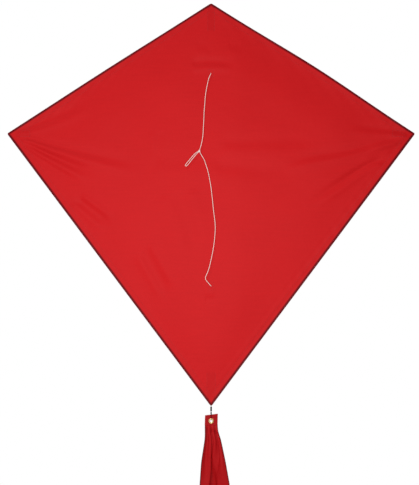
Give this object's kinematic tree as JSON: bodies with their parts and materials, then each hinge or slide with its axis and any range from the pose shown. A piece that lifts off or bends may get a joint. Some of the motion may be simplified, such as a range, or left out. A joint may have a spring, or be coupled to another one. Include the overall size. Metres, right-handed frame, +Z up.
{
  "type": "diamond kite",
  "caption": "Single-line diamond kite with a red cloth sail on crossed rods, a bridle line on its face, and a cloth tail hanging from the foot on a snap swivel.",
  "frame": {"origin": "on the flat back face of the centre fitting, where the spine and the spreader cross", "axes": "+Z up the spine to the nose, +Y out of the kite's back, +X to the wing on the right as seen from the front"},
  "size_m": [0.762, 0.0403, 1.7643],
  "materials": {
    "sail_taffeta": "red polyester taffeta, plain weave, slight sheen",
    "pocket_cloth": "doubled red taffeta, stitched",
    "tail_taffeta": "darker red polyester taffeta",
    "fibreglass_rod": "pultruded, black",
    "soft_vinyl": "moulded, satin black",
    "bridle_cord": "white braided polyester cord",
    "black_nickel": "black nickel plate on wire and sheet",
    "brass": "pressed, polished"
  },
  "bodies": {
    "frame": {"sail_centre": "sail_taffeta", "spine_rod": "fibreglass_rod", "nose_cap": "soft_vinyl", "foot_cap": "soft_vinyl", "nose_pocket": "pocket_cloth", "foot_pocket": "pocket_cloth", "centre_fitting": "soft_vinyl", "upper_patch": "pocket_cloth", "lower_patch": "pocket_cloth", "upper_hitch": "bridle_cord", "lower_hitch": "bridle_cord", "upper_bridle_leg": "bridle_cord", "lower_bridle_leg": "bridle_cord", "tow_knot": "bridle_cord", "tow_loop": "bridle_cord", "tail_tab": "pocket_cloth"},
    "right_wing": {"right_sail": "sail_taffeta", "right_spreader": "fibreglass_rod", "right_tip_cap": "soft_vinyl", "right_tip_pocket": "pocket_cloth", "right_arm": "soft_vinyl"},
    "left_wing": {"left_sail": "sail_taffeta", "left_spreader": "fibreglass_rod", "left_tip_cap": "soft_vinyl", "left_tip_pocket": "pocket_cloth", "left_arm": "soft_vinyl"},
    "link_eye": {"swivel_eye": "black_nickel"},
    "snap": {"swivel_barrel": "black_nickel", "snap_hook": "black_nickel"},
    "gate": {"snap_gate": "black_nickel"},
    "tail": {"tail_header": "tail_taffeta", "tail_streamer": "tail_taffeta", "tail_eyelet": "brass", "eyelet_washer": "brass"}
  },
  "joints": [
    {"name": "right_wing_fold", "type": "hinge", "parent": "frame", "child": "right_wing", "pos_m": [0.01, -0.007, 0], "axis": [0, 0, 1], "range_deg": [-4, 80], "stiffness_Nm_per_rad": 0.1},
    {"name": "left_wing_fold", "type": "hinge", "parent": "frame", "child": "left_wing", "pos_m": [-0.01, -0.007, 0], "axis": [0, 0, -1], "range_deg": [-4, 80], "stiffness_Nm_per_rad": 0.1},
    {"name": "link_swing", "type": "hinge", "parent": "frame", "child": "link_eye", "pos_m": [0, -0.00835, -0.5058], "axis": [1, 0, 0], "range_deg": [-30, 75]},
    {"name": "swivel_spin", "type": "hinge", "parent": "link_eye", "child": "snap", "pos_m": [0, -0.00835, -0.51405], "axis": [0, 0, 1], "continuous": true},
    {"name": "gate_open", "type": "hinge", "parent": "snap", "child": "gate", "pos_m": [0, -0.0052, -0.52885], "axis": [-1, 0, 0], "range_deg": [0, 40], "stiffness_Nm_per_rad": 0.002},
    {"name": "tail_swing", "type": "hinge", "parent": "snap", "child": "tail", "pos_m": [0, -0.00835, -0.5352], "axis": [0, 1, 0], "range_deg": [-30, 30]}
  ]
}
